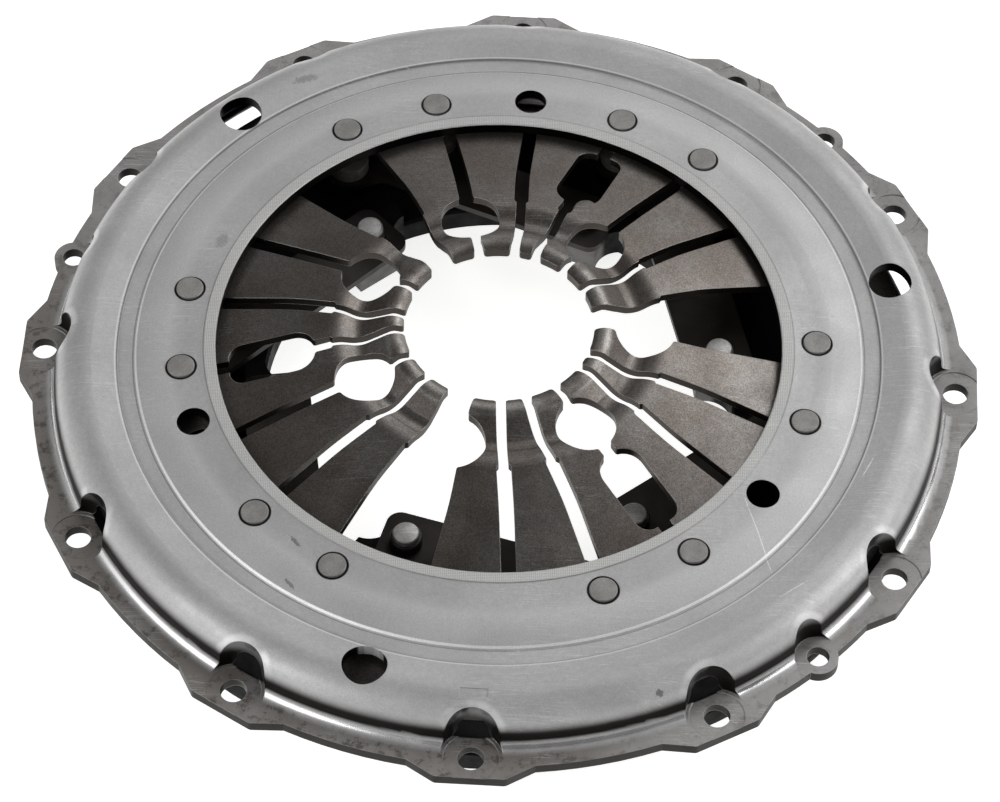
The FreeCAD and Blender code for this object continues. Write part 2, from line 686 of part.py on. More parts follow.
def make_strap_washer():
    bottom = STRAP_TOP_Z
    top = bottom + WASHER_H
    bore = STRAP_RIVET_R + HOLE_GAP
    middle = point_xz(WASHER_R - WASHER_EDGE, top - WASHER_EDGE)
    rounding, round_start, round_end = arc_about(middle, WASHER_EDGE, 90.0, 0.0)
    points = [
        round_end,
        point_xz(WASHER_R, bottom),
        point_xz(bore, bottom),
        point_xz(bore, top),
        round_start,
    ]
    return spun([rounding] + chain(points))


def make_strap_washers():
    washer = make_strap_washer()
    washers = []
    for azimuth in STRAP_RIVET_AZ:
        copy = washer.copy()
        copy.translate(polar(STRAP_RIVET_CIRCLE_R, azimuth))
        washers.append(copy)
    return Part.makeCompound(washers)


def plate_ring():
    under = FULCRUM_BOTTOM_Z - (RIDGE_R - FULCRUM_R) * CONE_TAN
    crest = under - RIDGE_GAP
    edge = PLATE_EDGE
    shoulder_r = RIDGE_R + RIDGE_FOOT_OUT
    points = [
        point_xz(PLATE_BORE_R, FRICTION_Z + edge),
        point_xz(PLATE_BORE_R + edge, FRICTION_Z),
        point_xz(PLATE_OUTER_R - edge, FRICTION_Z),
        point_xz(PLATE_OUTER_R, FRICTION_Z + edge),
        point_xz(PLATE_OUTER_R, PLATE_TOP_Z - edge),
        point_xz(PLATE_OUTER_R - edge, PLATE_TOP_Z),
        point_xz(shoulder_r, PLATE_TOP_Z),
        point_xz(RIDGE_R + 2.4, crest - 2.2),
        point_xz(RIDGE_R + 0.8, crest - 0.45),
        point_xz(RIDGE_R - 0.8, crest + 0.1),
        point_xz(RIDGE_R - 2.0, crest - 1.2),
        point_xz(RIDGE_R - RIDGE_FOOT_IN, PLATE_TOP_Z),
        point_xz(PLATE_BORE_R + edge, PLATE_TOP_Z),
        point_xz(PLATE_BORE_R, PLATE_TOP_Z - edge),
        point_xz(PLATE_BORE_R, FRICTION_Z + edge),
    ]
    return spun(chain(points), PLATE_SEAM_AZ)


def plate_lug():
    # one lug, along +X, with hollow curved sides that run into the ring's bore
    bottom = STRAP_BOTTOM_Z - LUG_T
    root = polar(PLATE_BORE_R, LUG_FLARE_AZ)
    waist = FreeCAD.Vector(LUG_INNER_R + 3.5, LUG_HALF, 0)
    curve_middle = FreeCAD.Vector(0.5 * (waist.x + root.x) + 1.9, 0.5 * (waist.y + root.y) - 2.2, 0)
    back = polar(LUG_BACK_R, LUG_FLARE_AZ)
    edges = []
    for side in [1.0, -1.0]:
        face_end = FreeCAD.Vector(LUG_INNER_R, side * LUG_HALF, bottom)
        first = FreeCAD.Vector(waist.x, side * waist.y, bottom)
        middle = FreeCAD.Vector(curve_middle.x, side * curve_middle.y, bottom)
        last = FreeCAD.Vector(root.x, side * root.y, bottom)
        corner = FreeCAD.Vector(back.x, side * back.y, bottom)
        edges.append(line(face_end, first))
        edges.append(Part.Arc(first, middle, last).toShape())
        edges.append(line(last, corner))
    edges.append(line(FreeCAD.Vector(LUG_INNER_R, LUG_HALF, bottom),
                      FreeCAD.Vector(LUG_INNER_R, -LUG_HALF, bottom)))
    edges.append(Part.Arc(FreeCAD.Vector(back.x, back.y, bottom),
                          FreeCAD.Vector(LUG_BACK_R, 0, bottom),
                          FreeCAD.Vector(back.x, -back.y, bottom)).toShape())
    face = Part.Face(Part.Wire(Part.__sortEdges__(edges)))
    return face.extrude(FreeCAD.Vector(0, 0, LUG_T))


def make_pressure_plate():
    lug = plate_lug()
    lugs = [turned(lug, azimuth + LUG_TURN) for azimuth in STRAP_RIVET_AZ]
    plate = plate_ring().multiFuse(lugs)
    cuts = []
    for azimuth in STRAP_RIVET_AZ:
        place = polar(STRAP_RIVET_CIRCLE_R, azimuth)
        cuts.append(cylinder(STRAP_RIVET_R + 0.5 * HOLE_GAP, FRICTION_Z - 1.0, STRAP_TOP_Z, place))
        cuts.append(cylinder(LUG_POCKET_R, FRICTION_Z - 1.0, STRAP_BOTTOM_Z - LUG_T, place))
    for azimuth in RIVET_AZ:
        place = polar(RIVET_CIRCLE_R, azimuth)
        cuts.append(cylinder(RECESS_R, PLATE_TOP_Z - RECESS_DEPTH, PLATE_TOP_Z + 5.0, place))
    for index in range(RIDGE_NOTCH_COUNT):
        base = FreeCAD.Vector(RIDGE_R - RIDGE_FOOT_IN - 2.0, -RIDGE_NOTCH_HALF, PLATE_TOP_Z + RIDGE_NOTCH_LIFT)
        width = RIDGE_FOOT_IN + RIDGE_FOOT_OUT + 4.0
        notch = Part.makeBox(width, 2.0 * RIDGE_NOTCH_HALF, 30.0, base)
        cuts.append(turned(notch, BOLT_FIRST_AZ + (index + 0.5) * 360.0 / RIDGE_NOTCH_COUNT))
    return plate.cut(cuts)


def save(name, shape):
    shape.exportStep("parts/" + name + ".step")


os.makedirs("parts", exist_ok=True)
save("cover", make_cover())
save("spacer_rivets", make_spacer_rivets())
save("fulcrum_ring_upper", make_fulcrum_ring(UPPER_WIRE_R, UPPER_WIRE_Z))
save("fulcrum_ring_lower", make_fulcrum_ring(LOWER_WIRE_R, LOWER_WIRE_Z))
save("diaphragm_spring", make_diaphragm_spring())
save("pressure_plate", make_pressure_plate())
save("strap_rivets", make_strap_rivets())
save("strap_washers", make_strap_washers())
for pack in range(len(STRAP_RIVET_AZ)):
    for level in range(LEAF_COUNT):
        save("strap_" + str(pack + 1) + "_" + LEAF_NAMES[level], make_strap_leaf(pack, level))
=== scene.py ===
import json
import math

import bmesh
import bpy
from mathutils import Matrix, Vector


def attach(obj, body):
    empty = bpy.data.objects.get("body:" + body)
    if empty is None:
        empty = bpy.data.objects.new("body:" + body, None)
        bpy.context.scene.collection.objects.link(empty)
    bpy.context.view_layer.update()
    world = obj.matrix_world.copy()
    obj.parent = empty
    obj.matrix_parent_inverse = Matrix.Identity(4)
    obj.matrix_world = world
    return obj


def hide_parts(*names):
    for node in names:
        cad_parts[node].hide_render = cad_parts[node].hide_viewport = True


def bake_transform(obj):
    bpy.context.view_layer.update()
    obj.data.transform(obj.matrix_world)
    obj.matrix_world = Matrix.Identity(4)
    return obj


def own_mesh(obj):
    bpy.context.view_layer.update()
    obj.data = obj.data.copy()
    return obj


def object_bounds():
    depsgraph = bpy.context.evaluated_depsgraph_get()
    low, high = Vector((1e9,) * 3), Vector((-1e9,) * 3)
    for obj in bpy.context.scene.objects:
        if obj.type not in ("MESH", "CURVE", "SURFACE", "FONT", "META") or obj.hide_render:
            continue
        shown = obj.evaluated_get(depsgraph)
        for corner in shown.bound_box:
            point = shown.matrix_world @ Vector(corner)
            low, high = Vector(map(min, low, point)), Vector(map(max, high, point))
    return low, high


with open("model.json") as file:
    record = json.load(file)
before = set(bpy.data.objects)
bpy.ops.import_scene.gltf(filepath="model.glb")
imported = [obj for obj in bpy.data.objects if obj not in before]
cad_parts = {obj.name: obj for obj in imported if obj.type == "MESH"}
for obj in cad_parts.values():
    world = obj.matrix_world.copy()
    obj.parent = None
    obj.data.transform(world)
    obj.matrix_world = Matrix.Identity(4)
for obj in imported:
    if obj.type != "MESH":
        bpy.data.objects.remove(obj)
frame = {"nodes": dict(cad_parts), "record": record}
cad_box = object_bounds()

NODES = frame["nodes"]
LOWEST_Z = cad_box[0][2]
MM = 0.001

# The camera, with its shift in units of the bolt circle's radius
FOCAL = 147.67
SENSOR_WIDTH = 36.0
ELEVATION = math.radians(52.963)
ROLL = math.radians(0.793)
CAMERA_SHIFT = Vector((-0.003145, -0.066648, 8.98737))
CLIP_START = 0.05
CLIP_END = 50.0

# Places on the cover, in metres; a pair of values is a soft border
SHEET = 0.005
BOLT_CIRCLE_R = 0.190
BOLT_AZ = [30.0 * count - 2.6 for count in range(12)]
DOWEL_AZ = [42.4, 162.4, 312.35]
POCKET_R = 0.0125
DOWEL_POCKET_R = 0.0095
POCKET_EDGE = 0.0003
SEAT_Z = (0.0050, 0.0054)
POCKET_WALL_Z = (0.0054, 0.0060)
LIP_Z = (0.013, 0.019)
BORE_R = 0.1167
RIM_R = (BORE_R + 0.0042, BORE_R + 0.0050)
RIM_LINE_R = BORE_R + 0.0051
RING_BAND_R = 0.1425
GROOVE_IN_R = 0.1501
GROOVE_OUT_R = 0.1577
GROOVE_MID_R = 0.5 * (GROOVE_IN_R + GROOVE_OUT_R)
WALL_IN_R = 0.178
INSIDE_R = (WALL_IN_R - 0.0005, WALL_IN_R)
FOOT_R = (0.1832, 0.1840)
FOOT_Z = 0.0064
FLANGE_R = (0.1862, 0.1892)
RIVET_CIRCLE_R = 0.13116
RIVET_GAP_R = 0.0059
SPACER_RIVET_AZ = [0.29, 49.06, 66.79, 102.5, 120.35, 169.07, 187.02, 222.64, 240.48, 288.93, 306.76, 342.31]

# Places on the spring, the straps and the plate's lugs
NOSE_R = 0.044
STRAP_RIVET_CIRCLE_R = 0.0927
STRAP_RIVET_AZ = [126.9, 186.9, 246.9, 306.9, 6.9, 66.9]
STRAP_PAIRS = [(5, 6), (7, 8), (9, 10), (11, 0), (1, 2), (3, 4)]
LEAF_NAMES = ["top", "middle", "bottom"]
LEAF_BEND = (0.22, 0.88)
LEAF_CUTS = 14
LUG_FACE_R = (0.0885, 0.0915)
FRICTION_FACE_Z = (LOWEST_Z + 0.0001, LOWEST_Z + 0.0004)

# Painted highlight and painted shade lines at the steps of the groove and the rim: radius, half width, tone
# and share
PAINTED_STEP_LINES = [
    (GROOVE_IN_R - 0.0003, 0.00030, (0.98, 0.98, 0.98), 0.95),
    (GROOVE_IN_R + 0.0009, 0.00012, (0.14, 0.14, 0.14), 0.55),
    (GROOVE_OUT_R - 0.0001, 0.00015, (0.12, 0.12, 0.12), 0.65),
    (GROOVE_OUT_R + 0.0006, 0.00020, (0.85, 0.85, 0.85), 0.50),
    (RIM_LINE_R, 0.00012, (0.20, 0.19, 0.18), 0.55),
]
PAINTED_LINE_SOFT = 0.00025

# Radians per metre of the press marks on the rim and of the turning marks on the friction face
PRESS_WAVES = 4200.0
TURNING_WAVES = 9000.0

# Wear on the cover: x and y in mm, turn in degrees, half length and half width in mm, tone and share
WEAR_MARKS = [
    (-79.9, -102.5, -51.0, 2.4, 0.6, 0.11, 0.65),
    (-81.4, -121.8, -50.0, 2.4, 0.5, 0.13, 0.60),
    (-85.6, 143.3, 20.0, 4.0, 1.4, 0.17, 0.50),
    (-116.8, 50.7, 70.0, 3.0, 1.8, 0.22, 0.45),
    (64.3, -168.2, 10.0, 1.2, 0.8, 0.08, 0.70),
    (104.6, -95.6, -73.0, 13.0, 0.16, 0.90, 0.80),
    (118.0, -121.0, 35.0, 5.0, 0.20, 0.88, 0.60),
    (150.0, -60.0, 62.0, 4.0, 0.25, 0.92, 0.60),
]

# Plain steels: dark and light tone, lowest and highest roughness, metallic share and scale of the clouding
PLAIN_STEELS = {
    "rivet_steel": ((0.25, 0.242, 0.232), (0.33, 0.322, 0.31), 0.42, 0.54, 0.5, 120.0),
    "ring_wire": ((0.22, 0.21, 0.20), (0.30, 0.29, 0.28), 0.32, 0.42, 0.9, 40.0),
    # painted shade: the washers and the straps are painted near black, as they sit in shade under the cover
    "washer_steel": ((0.030, 0.029, 0.028), (0.05, 0.048, 0.046), 0.30, 0.42, 0.5, 40.0),
    "strap_steel": ((0.020, 0.017, 0.015), (0.040, 0.033, 0.028), 0.40, 0.55, 0.5, 40.0),
}

# The floor and the studio's light
FLOOR_HALF = 3.0
FLOOR_TONE = (0.78, 0.78, 0.775, 1.0)
FLOOR_GLOW = (1.0, 1.0, 0.99, 1.0)
FLOOR_GLOW_STRENGTH = 0.82
EVEN_LIGHT = 0.06
# Azimuth, elevation, sharpness and strength of each broad patch of light
SKY_LOBES = [
    (54.0, 46.0, 30.0, 2.9),
    (68.0, 28.0, 6.0, 0.80),
    (203.0, 18.0, 5.0, 1.35),
    (-60.0, 30.0, 8.0, 0.15),
]
# Name, azimuth, elevation, distance, size and power of each lamp
LAMPS = [
    ("key", -5.0, 32.0, 2.2, (1.4, 1.4), 20.0),
    ("fill", 215.0, 32.0, 2.4, (1.6, 1.0), 13.0),
]


def on_circle(radius, azimuth, z=0.0):
    angle = math.radians(azimuth)
    return Vector((radius * math.cos(angle), radius * math.sin(angle), z))


def on_dome(distance, azimuth, elevation):
    angle = math.radians(elevation)
    return on_circle(distance * math.cos(angle), azimuth, distance * math.sin(angle))


def make_camera():
    se, ce = math.sin(ELEVATION), math.cos(ELEVATION)
    tilt = Matrix(((1, 0, 0), (0, -se, -ce), (0, ce, -se)))
    cr, sr = math.cos(ROLL), math.sin(ROLL)
    turn = Matrix(((cr, -sr, 0), (sr, cr, 0), (0, 0, 1))) @ tilt
    centre = -(turn.transposed() @ CAMERA_SHIFT)
    data = bpy.data.cameras.new("camera")
    data.lens = FOCAL
    data.sensor_width = SENSOR_WIDTH
    data.sensor_fit = "HORIZONTAL"
    data.clip_start = CLIP_START
    data.clip_end = CLIP_END
    camera = bpy.data.objects.new("camera", data)
    right, down, ahead = turn[0], turn[1], turn[2]
    camera.matrix_world = Matrix((
        (right[0], -down[0], -ahead[0], centre[0] * BOLT_CIRCLE_R),
        (right[1], -down[1], -ahead[1], centre[1] * BOLT_CIRCLE_R),
        (right[2], -down[2], -ahead[2], centre[2] * BOLT_CIRCLE_R + SHEET),
        (0, 0, 0, 1),
    ))
    bpy.context.scene.collection.objects.link(camera)
    bpy.context.scene.camera = camera


class Graph:
    """A small helper that adds and links the nodes of one tree."""

    def __init__(self, tree):
        self.tree = tree
        self.tree.nodes.clear()

    def add(self, kind, **settings):
        """Adds a node. A setting that starts with i_ is the value of an input."""
        node = self.tree.nodes.new(kind)
        for key, value in settings.items():
            if key.startswith("i_"):
                node.inputs[key[2:].replace("_", " ")].default_value = value
            else:
                setattr(node, key, value)
        return node

    def link(self, source, target):
        self.tree.links.new(source, target)

    def feed(self, node, values):
        """Sets or links the first inputs of a node."""
        for index, value in enumerate(values):
            if isinstance(value, (int, float)):
                node.inputs[index].default_value = value
            else:
                self.link(value, node.inputs[index])

    def math(self, operation, *values, clamp=False):
        node = self.add("ShaderNodeMath", operation=operation, use_clamp=clamp)
        self.feed(node, values)
        return node.outputs[0]

    def times(self, first, second):
        return self.math("MULTIPLY", first, second)

    def most(self, first, second):
        return self.math("MAXIMUM", first, second)

    def without(self, source, mask):
        """The source where the mask is nought, and nothing where it is one."""
        return self.times(source, self.math("SUBTRACT", 1.0, mask))

    def spread(self, source, low, high, to_low=0.0, to_high=1.0, smooth=True):
        """Maps a stretch of values onto another stretch, and holds the ends."""
        node = self.add("ShaderNodeMapRange", clamp=True)
        node.interpolation_type = "SMOOTHSTEP" if smooth else "LINEAR"
        self.feed(node, (source, low, high, to_low, to_high))
        return node.outputs[0]

    def below(self, source, low, high):
        """One below a stretch of values, and nought above it."""
        return self.spread(source, low, high, 1.0, 0.0)

    def band(self, source, middle, half, soft):
        """One inside a band about a value, and nought outside it."""
        away = self.math("ABSOLUTE", self.math("SUBTRACT", source, middle))
        return self.below(away, half, half + soft)

    def noise(self, vector, scale, detail=3.0, rough=0.55):
        node = self.add("ShaderNodeTexNoise", i_Scale=scale, i_Detail=detail, i_Roughness=rough)
        self.link(vector, node.inputs["Vector"])
        return node.outputs["Fac"]

    def clouds(self, vector, scale, detail, low, high, to_low=0.0, to_high=1.0, rough=0.55):
        """Noise, with a stretch of its values mapped onto another stretch."""
        return self.spread(self.noise(vector, scale, detail, rough), low, high, to_low, to_high)

    def stretched(self, vector, turn, scale):
        node = self.add("ShaderNodeMapping", i_Rotation=(0.0, 0.0, math.radians(turn)), i_Scale=scale)
        self.link(vector, node.inputs["Vector"])
        return node.outputs[0]

    def mix(self, factor, first, second, blend="MIX"):
        node = self.add("ShaderNodeMix", data_type="RGBA", blend_type=blend)
        sockets = [s for s in node.inputs if s.enabled]
        for socket, value in zip(sockets, (factor, first, second)):
            if isinstance(value, (int, float)):
                socket.default_value = value
            elif isinstance(value, tuple):
                socket.default_value = (*value, 1.0)
            else:
                self.link(value, socket)
        return [s for s in node.outputs if s.enabled][0]

    def tint(self, base, mask, share, tone):
        """Mixes a share of a tone into the base where the mask is one."""
        return self.mix(self.times(mask, share), base, tone)

    def grade(self, base, source, low, high, to_low, to_high):
        """Makes the base darker and lighter by a stretch of values."""
        return self.mix(1.0, base, self.spread(source, low, high, to_low, to_high), "MULTIPLY")

    def combine(self, operation, first, second):
        """One vector operation, with its number as the result."""
        node = self.add("ShaderNodeVectorMath", operation=operation)
        for index, value in enumerate((first, second)):
            if isinstance(value, Vector):
                node.inputs[index].default_value = value
            else:
                self.link(value, node.inputs[index])
        return node.outputs["Value"]

    def place(self):
        """The object's own coordinates, with the distance from the part's axis."""
        where = self.add("ShaderNodeTexCoord").outputs["Object"]
        parts = self.add("ShaderNodeSeparateXYZ")
        self.link(where, parts.inputs[0])
        x, y, z = parts.outputs
        square = self.math("ADD", self.times(x, x), self.times(y, y))
        return where, self.math("SQRT", square), x, y, z

    def level(self):
        """How nearly the surface faces up or down: one if it is level, and nought if it is upright."""
        parts = self.add("ShaderNodeSeparateXYZ")
        self.link(self.add("ShaderNodeNewGeometry").outputs["Normal"], parts.inputs[0])
        return self.math("ABSOLUTE", parts.outputs[2])

    def rounding_and_edge_highlight(self, width):
        """A softly rounded normal, and how near the surface is to one of its sharp edges."""
        rounded = self.add("ShaderNodeBevel", samples=4, i_Radius=width).outputs[0]
        plain = self.add("ShaderNodeNewGeometry").outputs["Normal"]
        return rounded, self.below(self.combine("DOT_PRODUCT", rounded, plain), 0.80, 0.985)

    def flat_place(self, x, y):
        flat = self.add("ShaderNodeCombineXYZ")
        self.feed(flat, (x, y))
        return flat.outputs[0]

    def nearest(self, flat, radius, azimuths):
        """The distance to the nearest of some places on a circle about the part's axis."""
        least = None
        for azimuth in azimuths:
            distance = self.combine("DISTANCE", flat, on_circle(radius, azimuth))
            least = distance if least is None else self.math("MINIMUM", least, distance)
        return least

    def spot(self, flat, ragged, x, y, turn, half_length, half_width):
        """A small mark with ragged edges at one place, given in millimetres."""
        local = self.add(
            "ShaderNodeMapping", vector_type="TEXTURE", i_Location=(x * MM, y * MM, 0.0),
            i_Rotation=(0.0, 0.0, math.radians(turn)), i_Scale=(half_length * MM, half_width * MM, 1.0))
        self.link(flat, local.inputs["Vector"])
        size = self.add("ShaderNodeVectorMath", operation="LENGTH")
        self.link(local.outputs[0], size.inputs[0])
        return self.below(self.math("ADD", size.outputs["Value"], ragged), 1.0, 1.5)

    def scratches(self, where, turn, patch_scale, keep):
        """Fine straight scratches in one direction, broken up so that only some of them show."""
        lines = self.noise(self.stretched(where, turn, (30.0, 1400.0, 30.0)), 1.0, 2.0, 0.4)
        fine = self.band(lines, 0.5, 0.006, 0.010)
        return self.times(fine, self.clouds(where, patch_scale, 2.0, keep, keep + 0.08))


def new_material(name):
    material = bpy.data.materials.new(name)
    material.use_nodes = True
    graph = Graph(material.node_tree)
    shader = graph.add("ShaderNodeBsdfPrincipled")
    output = graph.add("ShaderNodeOutputMaterial")
    graph.link(shader.outputs[0], output.inputs["Surface"])
    return material, graph, shader


def bump(graph, shader, height, strength, distance, rounded=None):
    node = graph.add("ShaderNodeBump", i_Strength=strength, i_Distance=distance)
    graph.link(height, node.inputs["Height"])
    if rounded is not None:
        graph.link(rounded, node.inputs["Normal"])
    graph.link(node.outputs[0], shader.inputs["Normal"])


def in_pockets(graph, bolt, dowel, margin):
    """One inside the round pockets over the bolts and dowels, widened by a margin."""
    wide = POCKET_R + margin
    narrow = DOWEL_POCKET_R + margin
    return graph.most(
        graph.below(bolt, wide, wide + POCKET_EDGE),
        graph.below(dowel, narrow, narrow + POCKET_EDGE))


def stain_and_shade_flange(graph, base, where, x, y, flange):
    """The tabs and the flange keep the dark skin of the rolled sheet, with painted shade that darkens them
    towards the lower left corner.
    """
    # painted shade: the corner mask makes the stain and blots darker towards the lower left
    corner = graph.spread(graph.math("ADD", x, y), -0.08, -0.22)
    stain = graph.clouds(where, 11.0, 5.0, 0.38, 0.62, 0.30, 0.80, 0.65)
    stain = graph.math("ADD", stain, graph.times(corner, 0.4), clamp=True)
    base = graph.mix(graph.times(flange, stain), base, (0.245, 0.225, 0.21))
    blots = graph.clouds(where, 170.0, 5.0, 0.50, 0.64, 0.0, 0.75, 0.75)
    blots = graph.times(blots, graph.spread(corner, 0.0, 1.0, 0.45, 1.0))
    return graph.mix(graph.times(flange, blots), base, (0.075, 0.060, 0.052))


def dress_rim(graph, base, radius, x, y):
    """The bore's rim is painted brighter as a highlight along the bore's edge, and has a fine criss-cross
    from the press.
    """
    rim = graph.below(radius, *RIM_R)
    first = graph.math("SINE", graph.times(graph.math("ADD", x, y), PRESS_WAVES))
    second = graph.math("SINE", graph.times(graph.math("SUBTRACT", x, y), PRESS_WAVES))
    weave = graph.times(graph.times(first, second), rim)
    # painted highlight on the rim
    base = graph.tint(base, rim, 0.55, (0.62, 0.615, 0.60))
    return graph.grade(base, weave, -1.0, 1.0, 0.72, 1.22), weave


def wear_and_painted_lines(graph, base, where, radius, flat):
    """Adds the painted highlight and shade lines at the groove and rim steps, chance scratches and the
    placed marks.
    """
    for middle, half, tone, share in PAINTED_STEP_LINES:
        base = graph.tint(base, graph.band(radius, middle, half, PAINTED_LINE_SOFT), share, tone)
    marks = graph.most(graph.scratches(where, 28.0, 19.0, 0.56), graph.scratches(where, -47.0, 15.0, 0.58))
    base = graph.tint(base, marks, 0.50, (0.74, 0.74, 0.74))
    ragged = graph.clouds(where, 700.0, 4.0, 0.3, 0.7, -0.5, 0.5, 0.7)
    for x, y, turn, half_length, half_width, tone, share in WEAR_MARKS:
        mark = graph.spot(flat, ragged, x, y, turn, half_length, half_width)
        base = graph.tint(base, mark, share, (tone, tone, tone))
    return base


def pocket_lip_highlights(graph, where, z, bolt, dowel):
    """Painted highlights in patches on the upper lips of the pockets."""
    lips = graph.most(
        graph.band(bolt, POCKET_R + 0.0012, 0.0002, 0.0022),
        graph.band(dowel, DOWEL_POCKET_R + 0.0010, 0.0002, 0.0018))
    lips = graph.times(lips, graph.spread(z, *LIP_Z))
    return graph.times(lips, graph.clouds(where, 75.0, 3.0, 0.38, 0.62, 0.0, 0.55))


def cover_steel():
    material, graph, shader = new_material("cover_steel")
    where, radius, x, y, z = graph.place()
    rounded, lit_edge = graph.rounding_and_edge_highlight(0.0005)
    flat = graph.flat_place(x, y)
    bolt = graph.nearest(flat, BOLT_CIRCLE_R, BOLT_AZ)
    dowel = graph.nearest(flat, BOLT_CIRCLE_R, DOWEL_AZ)
    rivet = graph.nearest(flat, RIVET_CIRCLE_R, SPACER_RIVET_AZ)
    grain = graph.noise(where, 2600.0, 2.0)
    mottle = graph.noise(where, 420.0, 3.0)

    # the satin of the drawn sheet, a little brighter on the ring beside the groove
    base = graph.mix(graph.clouds(where, 26.0, 4.0, 0.35, 0.65), (0.48, 0.48, 0.48), (0.54, 0.54, 0.538))
    base = graph.mix(graph.spread(mottle, 0.3, 0.7, 0.0, 0.25), base, (0.36, 0.358, 0.35))
    base = graph.tint(base, graph.band(radius, RING_BAND_R, 0.0045, 0.006), 0.6, (0.62, 0.62, 0.615))

    seat = graph.times(in_pockets(graph, bolt, dowel, margin=0.0), graph.below(z, *SEAT_Z))
    base = stain_and_shade_flange(graph, base, where, x, y, graph.most(seat, graph.spread(radius, *FLANGE_R)))
    base, weave = dress_rim(graph, base, radius, x, y)
    base = wear_and_painted_lines(graph, base, where, radius, flat)
    base = graph.grade(base, grain, 0.3, 0.7, 0.86, 1.10)

    # painted shade: the outer wall is painted dark, and the walls of the holes and pockets nearly black,
    # where little light reaches
    steep = graph.below(graph.level(), 0.15, 0.58)
    steep = graph.without(steep, graph.band(radius, GROOVE_MID_R, 0.0055, 0.001))
    base = graph.mix(steep, base, (0.020, 0.0175, 0.016))
    pocket = graph.times(in_pockets(graph, bolt, dowel, margin=0.0002), graph.spread(z, *POCKET_WALL_Z))
    hollow_shade = graph.times(steep, graph.most(pocket, graph.below(radius, *INSIDE_R)))
    base = graph.mix(hollow_shade, base, (0.007, 0.006, 0.005))
    # painted highlight: sharp edges are painted lighter, except in the hollows
    base = graph.tint(base, graph.without(lit_edge, hollow_shade), 0.55, (0.60, 0.59, 0.58))

    # painted highlights: the pockets' lips and the fillet at the wall's foot are painted bright, and painted
    # shade darkens the gap round each rivet
    base = graph.mix(pocket_lip_highlights(graph, where, z, bolt, dowel), base, (0.86, 0.86, 0.86))
    foot_highlight = graph.times(graph.band(z, FOOT_Z, 0.0003, 0.0008), graph.spread(radius, *FOOT_R))
    foot_highlight = graph.without(foot_highlight, pocket)
    base = graph.mix(foot_highlight, base, (0.74, 0.74, 0.74))
    base = graph.mix(graph.band(rivet, RIVET_GAP_R, 0.0006, 0.0002), base, (0.02, 0.018, 0.016))
    graph.link(base, shader.inputs["Base Color"])

    rough = graph.clouds(where, 60.0, 5.0, 0.3, 0.7, 0.39, 0.52)
    graph.link(graph.math("SUBTRACT", rough, graph.times(foot_highlight, 0.20)), shader.inputs["Roughness"])
    polish = graph.most(foot_highlight, graph.times(steep, 0.95))
    graph.link(graph.spread(polish, 0.0, 1.0, 0.35, 1.0, False), shader.inputs["Metallic"])
    height = graph.math("ADD", grain, graph.times(mottle, 0.8))
    bump(graph, shader, graph.math("ADD", height, graph.times(weave, 0.8)), 0.22, 0.00006, rounded)
    return material


def spring_steel():
    material, graph, shader = new_material("spring_steel")
    where, radius = graph.place()[:2]
    rounded, lit_edge = graph.rounding_and_edge_highlight(0.0004)
    grain = graph.noise(where, 1700.0, 2.0, 0.7)
    mottle = graph.noise(where, 380.0, 3.0)
    cloud = graph.clouds(where, 30.0, 4.0, 0.35, 0.65)
    base = graph.mix(cloud, (0.158, 0.138, 0.124), (0.200, 0.188, 0.177))
    base = graph.mix(graph.spread(mottle, 0.35, 0.75, 0.0, 0.40), base, (0.125, 0.104, 0.090))

    # the noses of the fingers are rubbed brighter
    worn = graph.band(radius, NOSE_R, 0.0022, 0.0022)
    worn = graph.times(worn, graph.clouds(where, 90.0, 4.0, 0.35, 0.6, 0.0, 0.6))
    base = graph.mix(worn, base, (0.42, 0.405, 0.385))
    base = graph.tint(base, graph.scratches(where, 74.0, 24.0, 0.55), 0.40, (0.46, 0.45, 0.43))
    base = graph.grade(base, grain, 0.3, 0.7, 0.62, 1.24)
    # painted shade: the upright sides of the fingers are painted dark
    base = graph.mix(graph.below(graph.level(), 0.30, 0.70), base, (0.050, 0.042, 0.036))
    # painted highlight: the fingers' sharp edges are painted lighter
    base = graph.tint(base, lit_edge, 0.60, (0.52, 0.50, 0.48))
    graph.link(base, shader.inputs["Base Color"])
    graph.link(graph.clouds(where, 55.0, 4.0, 0.3, 0.7, 0.29, 0.39), shader.inputs["Roughness"])
    shader.inputs["Metallic"].default_value = 0.9
    height = graph.math("ADD", grain, graph.times(mottle, 0.9))
    bump(graph, shader, height, 0.28, 0.00007, rounded)
    return material


def rough_metal(name, dark, light, rough_low, rough_high, metallic, cloud, grain=2200.0, depth=0.2):
    material, graph, shader = new_material(name)
    where = graph.place()[0]
    fine = graph.noise(where, grain, 2.0)
    base = graph.mix(graph.clouds(where, cloud, 4.0, 0.32, 0.68), dark, light)
    base = graph.grade(base, fine, 0.3, 0.7, 0.85, 1.12)
    graph.link(base, shader.inputs["Base Color"])
    rough = graph.clouds(where, cloud * 2.5, 4.0, 0.3, 0.7, rough_low, rough_high)
    graph.link(rough, shader.inputs["Roughness"])
    shader.inputs["Metallic"].default_value = metallic
    bump(graph, shader, fine, depth, 0.00008)
    return material, graph, shader, base


